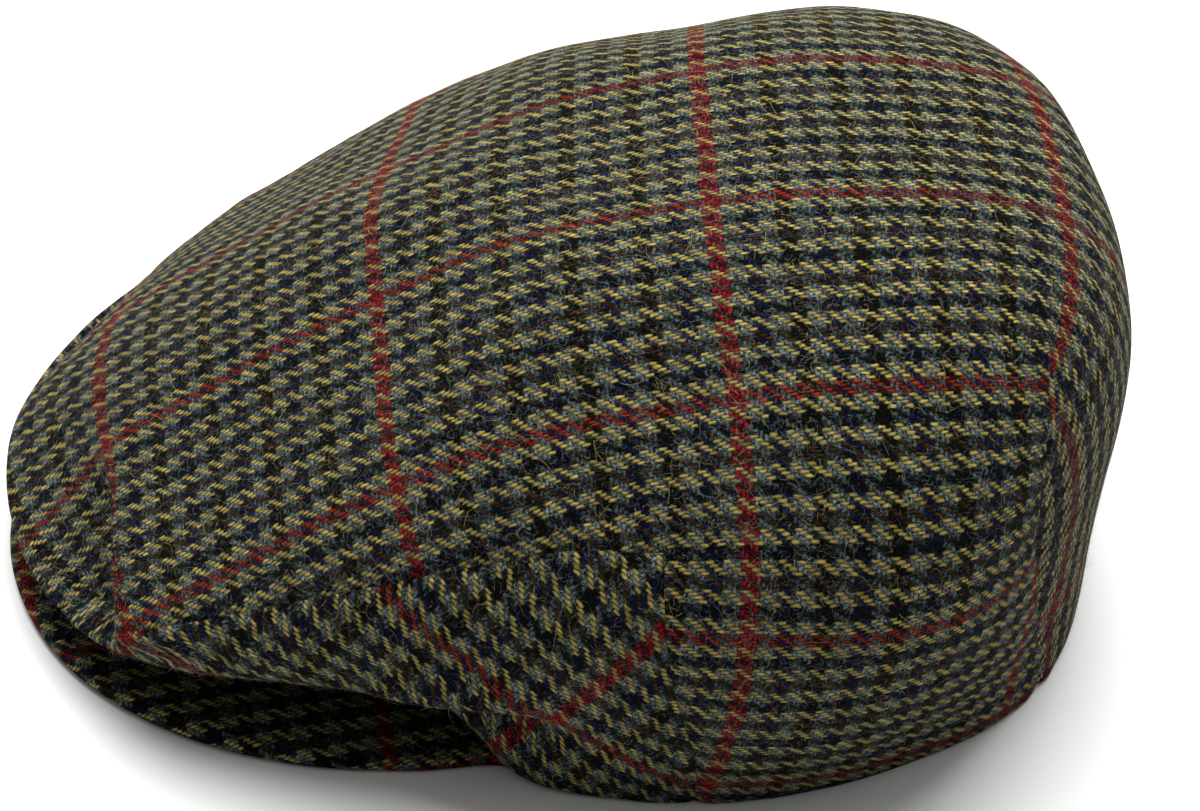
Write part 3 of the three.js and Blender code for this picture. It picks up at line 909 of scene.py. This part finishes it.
def dress_side(name, side):
    columns = refined(np.linspace(SIDE_FRONT, SIDE_BACK, 64), (SIDE_FRONT + 0.2, SIDE_BACK - 0.2), (0.15,))
    columns = columns[(columns >= SIDE_FRONT) & (columns <= SIDE_BACK)]
    if side < 0:
        columns = 360 - columns[::-1]
    rows = refined(np.linspace(1, 2, 48), (1,), NEAR_SEAM)
    rows = rows[rows >= 1]
    grid = side_grid(columns, rows, side)
    uv = threads(flat_side(grid, side), side * SIDE_GRAIN, SIDE_LINE_U, side * SIDE_LINE_V)
    base = creased_crown(grid.bearing, grid.along)
    normal = vertex_normals(base, grid.quads)
    above, past = seam_distances(grid.bearing, grid.along, base)
    distance = np.maximum(0, np.minimum(-above, -past))
    lump = cloth_waves(grid.bearing, grid.along, distance)
    pressed = np.maximum(roll_in(np.maximum(0, -above)), roll_in(np.maximum(0, -past)))
    outer = base + normal * (lump - pressed)[:, None]
    inner = inner_face(base + normal * lump[:, None], normal, grid.along)
    piece = shell(f"{name}_cloth", outer, inner, grid.quads, uv, (grid.share > 2 - 1e-6) * 1.0)
    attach(piece, "root")
    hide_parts(name)
    hairs = add_fuzz(f"{name}_fuzz", outer, grid.quads, SMALL_FIBRES, SIDE_SEED + side)


def dress_peak():
    end = PEAK[-1][0]
    columns = np.linspace(-end, end, 181)
    rows = np.concatenate([np.linspace(0, 0.92, 24), np.linspace(0.94, 1, 5)])
    grid = Grid(columns, rows, lambda column, share: (column % 360, share), lambda i, j: i < len(columns) - 1, False)
    reach, thick = table_curve(PEAK, grid.bearing)
    _, _, rim, lift, _, _ = table_curve(SECTIONS, grid.bearing)
    out = rim - PEAK_TUCK + (reach - thick / 2 - rim + PEAK_TUCK) * grid.along
    share = np.maximum(0, (out - rim) / (reach - rim))
    top = (lift - PANEL_GAP) * (1 - share) + thick * share
    turn = np.radians(grid.bearing)
    across, back = out * np.sin(turn), -out * np.cos(turn)
    outer = np.stack([across, POLE_Y + back, top], 1)
    inner = outer - np.stack([0 * thick, 0 * thick, thick], 1)
    uv = threads(np.stack([back, across], 1), PEAK_GRAIN, PEAK_LINE_U, PEAK_LINE_V)
    piece = shell("peak_cloth", outer, inner, grid.quads, uv, np.ones(len(outer)), steps=8)
    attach(piece, "root")
    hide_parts("peak")
    hairs = add_fuzz("peak_fuzz", outer, grid.quads, SMALL_FIBRES, PEAK_SEED)


dress_crown()
dress_side("side_panel_left", 1)
dress_side("side_panel_right", -1)
dress_peak()

# ---- Floor, light and camera ----
scene = bpy.context.scene
scene.view_settings.view_transform = "Standard"

floor_mesh = bpy.data.meshes.new("floor")
floor_mesh.from_pydata([(-4, -4, 0), (4, -4, 0), (4, 4, 0), (-4, 4, 0)], [], [(0, 1, 2, 3)])
floor = bpy.data.objects.new("floor", floor_mesh)
scene.collection.objects.link(floor)
paper = bpy.data.materials.new("paper")
paper.use_nodes = True
paper_shader = paper.node_tree.nodes["Principled BSDF"]
paper_shader.inputs["Base Color"].default_value = (0.95, 0.95, 0.95, 1)
paper_shader.inputs["Roughness"].default_value = 0.9
floor_mesh.materials.append(paper)

scene.world = scene.world or bpy.data.worlds.new("World")
scene.world.use_nodes = True
sky = scene.world.node_tree.nodes["Background"]
sky.inputs[0].default_value = (1, 1, 1, 1)
# The room is light above and on the far side, and dim on the near side.
room = scene.world.node_tree
facing = room.nodes.new("ShaderNodeTexCoord")
weigh = room.nodes.new("ShaderNodeVectorMath")
weigh.operation = "DOT_PRODUCT"
weigh.inputs[1].default_value = (-0.55, 0.14, 0.41)
level = room.nodes.new("ShaderNodeMath")
level.operation = "MULTIPLY_ADD"
level.use_clamp = True
level.inputs[1].default_value, level.inputs[2].default_value = 0.6, 0.24
room.links.new(facing.outputs["Generated"], weigh.inputs[0])
room.links.new(weigh.outputs["Value"], level.inputs[0])
room.links.new(level.outputs[0], sky.inputs[1])


def area_light(name, place, target, size, power):
    light = bpy.data.lights.new(name, "AREA")
    light.shape, light.size, light.energy = "DISK", size, power
    made = bpy.data.objects.new(name, light)
    made.location = place
    made.rotation_euler = (Vector(target) - Vector(place)).to_track_quat("-Z", "Y").to_euler()
    scene.collection.objects.link(made)


area_light("key", place=(-0.6, 0.0, 1.25), target=(0, 0, 0.05), size=1.6, power=44)

camera = bpy.data.cameras.new("camera")
camera.lens, camera.sensor_width = 81.2, 36
camera_object = bpy.data.objects.new("camera", camera)
camera_object.location = (0.4615, 0.0314, 0.4197)
camera_object.rotation_euler = Vector((-0.7615, -0.0334, -0.6473)).to_track_quat("-Z", "Y").to_euler()
scene.collection.objects.link(camera_object)
scene.camera = camera_object
